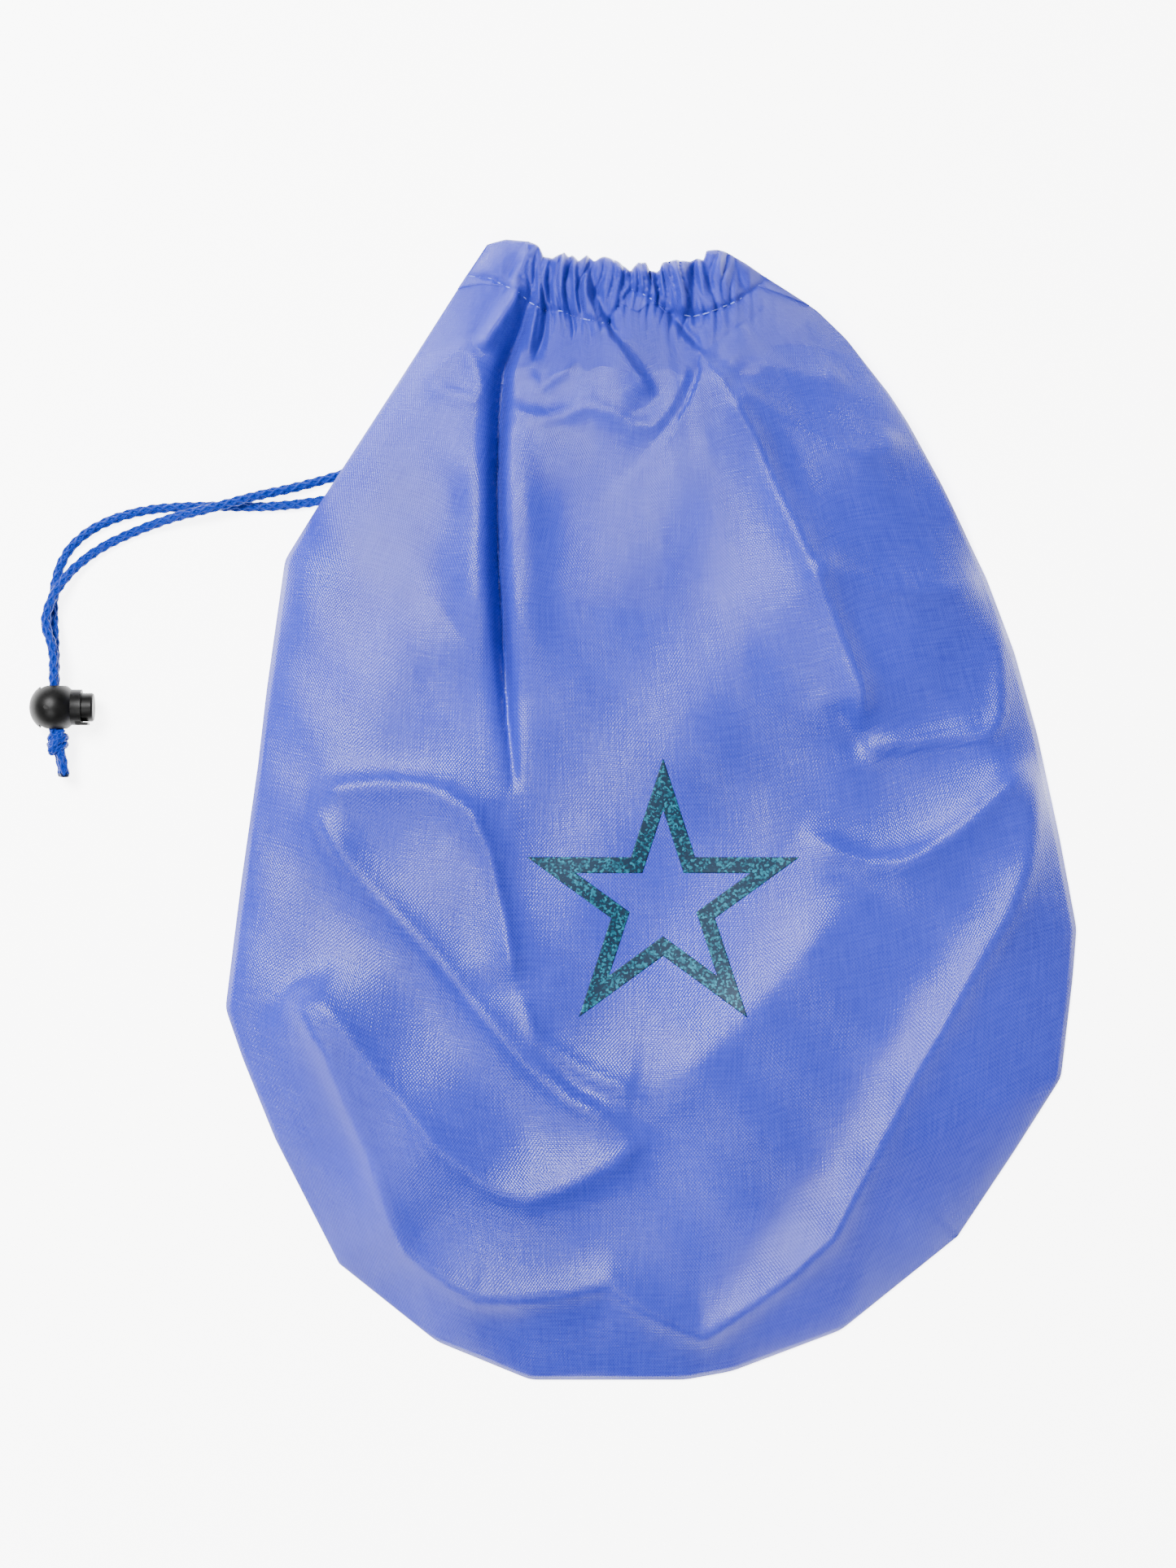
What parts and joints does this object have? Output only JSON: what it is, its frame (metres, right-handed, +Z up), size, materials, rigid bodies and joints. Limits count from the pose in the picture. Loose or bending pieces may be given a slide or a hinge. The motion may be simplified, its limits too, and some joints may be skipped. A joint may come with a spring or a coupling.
{
  "type": "drawstring ball bag",
  "caption": "Flat-laid pear-shaped taffeta drawstring bag for a rhythmic gymnastics ball, gathered mouth, braided cord with a spring ball lock.",
  "frame": {"origin": "under the middle of the bag, on the surface it lies on", "axes": "+Y from the round bottom to the gathered mouth, +X to the right seen from above, +Z up"},
  "size_m": [0.3681, 0.4, 0.0253],
  "materials": {
    "bag_cloth": "lustrous plain-weave taffeta",
    "sewing_thread": "polyester thread",
    "glitter_film": "glitter transfer film",
    "drawstring_cord": "braided polyester",
    "lock_plastic": "satin moulded",
    "spring_steel": "drawn wire"
  },
  "bodies": {
    "bag": {"front_panel": "bag_cloth", "back_panel": "bag_cloth", "front_casing": "bag_cloth", "back_casing": "bag_cloth", "seam_allowance": "bag_cloth", "exit_buttonhole": "sewing_thread", "seam_thread": "sewing_thread", "front_casing_stitches": "sewing_thread", "back_casing_stitches": "sewing_thread", "print_star": "glitter_film", "drawstring_loop": "drawstring_cord", "drawstring_leg_over": "drawstring_cord", "drawstring_leg_under": "drawstring_cord", "drawstring_knot": "drawstring_cord", "drawstring_tail_over": "drawstring_cord", "drawstring_tail_under": "drawstring_cord"},
    "lock": {"lock_barrel": "lock_plastic", "lock_spring": "spring_steel"},
    "plunger": {"lock_plunger": "lock_plastic"}
  },
  "joints": [
    {"name": "lock_slide", "type": "slide", "parent": "bag", "child": "lock", "axis": [0, 1, 0], "range_m": [0, 0.01]},
    {"name": "plunger_press", "type": "slide", "parent": "lock", "child": "plunger", "axis": [-1, 0, 0], "range_m": [0, 0.0028], "stiffness_N_per_m": 1500, "springref_m": -0.002, "deforming": ["lock_spring"]}
  ]
}
